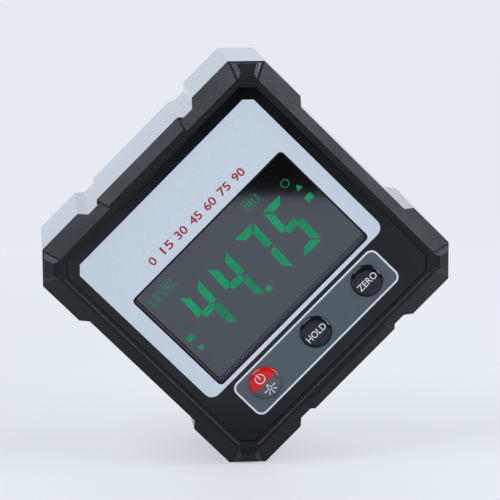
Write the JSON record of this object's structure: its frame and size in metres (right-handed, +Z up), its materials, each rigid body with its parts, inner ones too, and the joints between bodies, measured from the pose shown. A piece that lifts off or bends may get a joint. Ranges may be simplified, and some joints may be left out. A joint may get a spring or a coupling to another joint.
{
  "type": "digital angle gauge",
  "caption": "Square digital angle gauge in a bevelled black housing with corner bumpers, a backlit angle display, dome keys, magnets in its base and a battery cover in the back.",
  "frame": {"origin": "middle of the lower corner flat that the gauge stands on, as pictured", "axes": "+Z up, -Y is the display side, +X to the right of the display; the base faces down and right at 45 degrees"},
  "size_m": [0.0778, 0.03, 0.0778],
  "materials": {
    "front_housing": "satin black moulded ABS",
    "rear_housing": "satin black moulded ABS",
    "face_overlay": "printed polycarbonate film",
    "display_window": "clear polished acrylic",
    "lcd_glass": "dark negative display",
    "light_guide": "white diffusing acrylic",
    "backlight_led": "clear lamp",
    "zebra_strips": "silicone rubber",
    "main_board": "green solder mask",
    "processor_chip": "moulded epoxy",
    "tilt_sensor": "moulded epoxy",
    "crystal": "plated can",
    "board_capacitors": "ceramic",
    "key_switches": "moulded nylon",
    "power_key": "glossy red and grey",
    "hold_key": "glossy black",
    "zero_key": "glossy black",
    "power_plunger": "moulded nylon",
    "hold_plunger": "moulded nylon",
    "zero_plunger": "moulded nylon",
    "board_screws": "zinc plated",
    "housing_screws": "zinc plated",
    "base_magnets": "nickel plated",
    "battery_cover": "satin black moulded ABS",
    "upper_cell": "plain film jacket",
    "lower_cell": "plain film jacket",
    "positive_contact": "plated spring steel",
    "negative_contact": "plated spring steel",
    "negative_spring": "plated wire",
    "bridge_contact": "plated spring steel",
    "bridge_spring": "plated wire"
  },
  "bodies": {
    "gauge_body": {"front_housing": "front_housing", "rear_housing": "rear_housing", "face_overlay": "face_overlay", "display_window": "display_window", "lcd_glass": "lcd_glass", "light_guide": "light_guide", "backlight_led": "backlight_led", "zebra_strips": "zebra_strips", "main_board": "main_board", "processor_chip": "processor_chip", "tilt_sensor": "tilt_sensor", "crystal": "crystal", "board_capacitors": "board_capacitors", "key_switches": "key_switches", "board_screws": "board_screws", "housing_screws": "housing_screws", "base_magnets": "base_magnets", "upper_cell": "upper_cell", "lower_cell": "lower_cell", "positive_contact": "positive_contact", "negative_contact": "negative_contact", "negative_spring": "negative_spring", "bridge_contact": "bridge_contact", "bridge_spring": "bridge_spring"},
    "power_key": {"power_key": "power_key", "power_plunger": "power_plunger"},
    "hold_key": {"hold_key": "hold_key", "hold_plunger": "hold_plunger"},
    "zero_key": {"zero_key": "zero_key", "zero_plunger": "zero_plunger"},
    "battery_cover": {"battery_cover": "battery_cover"}
  },
  "joints": [
    {"name": "power_key_press", "type": "slide", "parent": "gauge_body", "child": "power_key", "axis": [0, 1, 0], "range_m": [0, 0.0003], "stiffness_N_per_m": 800},
    {"name": "hold_key_press", "type": "slide", "parent": "gauge_body", "child": "hold_key", "axis": [0, 1, 0], "range_m": [0, 0.0003], "stiffness_N_per_m": 800},
    {"name": "zero_key_press", "type": "slide", "parent": "gauge_body", "child": "zero_key", "axis": [0, 1, 0], "range_m": [0, 0.0003], "stiffness_N_per_m": 800},
    {"name": "battery_cover_swing", "type": "hinge", "parent": "gauge_body", "child": "battery_cover", "pos_m": [-0.01725, 0.015, 0.02164], "axis": [-0.7071, 0, 0.7071], "range_deg": [0, 60]}
  ]
}
